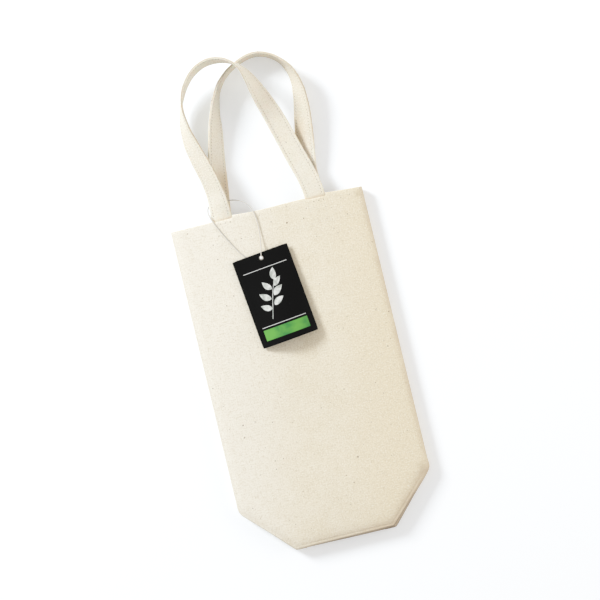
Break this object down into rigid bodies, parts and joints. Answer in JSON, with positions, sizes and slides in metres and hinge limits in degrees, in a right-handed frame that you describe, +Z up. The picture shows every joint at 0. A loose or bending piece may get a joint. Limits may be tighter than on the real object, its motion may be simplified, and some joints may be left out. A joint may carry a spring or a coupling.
{
  "type": "bottle bag",
  "caption": "Flat-folded natural cotton bottle carrier bag with a boxed base folded in, two flat strap handles and a card swing tag on a string loop.",
  "frame": {"origin": "middle of the bag with its handles, on the ground it lies on", "axes": "+X across the bag as pictured, +Y from the base towards the mouth and handles, +Z up out of the front panel"},
  "size_m": [0.18, 0.4522, 0.0398],
  "materials": {
    "cotton": "natural plain-weave cotton canvas, unbleached, with seed flecks",
    "strap": "folded and edge-stitched cotton canvas strap",
    "thread": "matte sewing thread",
    "card": "black uncoated card",
    "string": "thin white twisted cord",
    "crimp": "moulded, white"
  },
  "bodies": {
    "bag": {"front_panel": "cotton", "back_panel": "cotton", "bottom_gusset": "cotton", "left_side_seam": "cotton", "right_side_seam": "cotton", "front_handle_left_end": "strap", "front_handle_right_end": "strap", "back_handle_left_end": "strap", "back_handle_right_end": "strap", "front_hem_stitching": "thread", "back_hem_stitching": "thread", "front_box_stitching": "thread", "back_box_stitching": "thread", "tag_string": "string", "string_crimp": "crimp"},
    "front_handle": {"front_handle": "strap"},
    "back_handle": {"back_handle": "strap"},
    "tag": {"tag_card": "card"}
  },
  "joints": [
    {"name": "front_handle_fold", "type": "hinge", "parent": "bag", "child": "front_handle", "pos_m": [0, 0.08423, 0.0132], "axis": [1, 0, 0], "range_deg": [0, 150], "deforming": ["tag_string"]},
    {"name": "back_handle_fold", "type": "hinge", "parent": "bag", "child": "back_handle", "pos_m": [0, 0.08423, 0.0008], "axis": [1, 0, 0], "range_deg": [-150, 0]},
    {"name": "tag_swing", "type": "hinge", "parent": "bag", "child": "tag", "pos_m": [-0.0147, 0.04143, 0.01685], "axis": [0, 0, 1], "range_deg": [-35, 35], "deforming": ["tag_string"]}
  ]
}
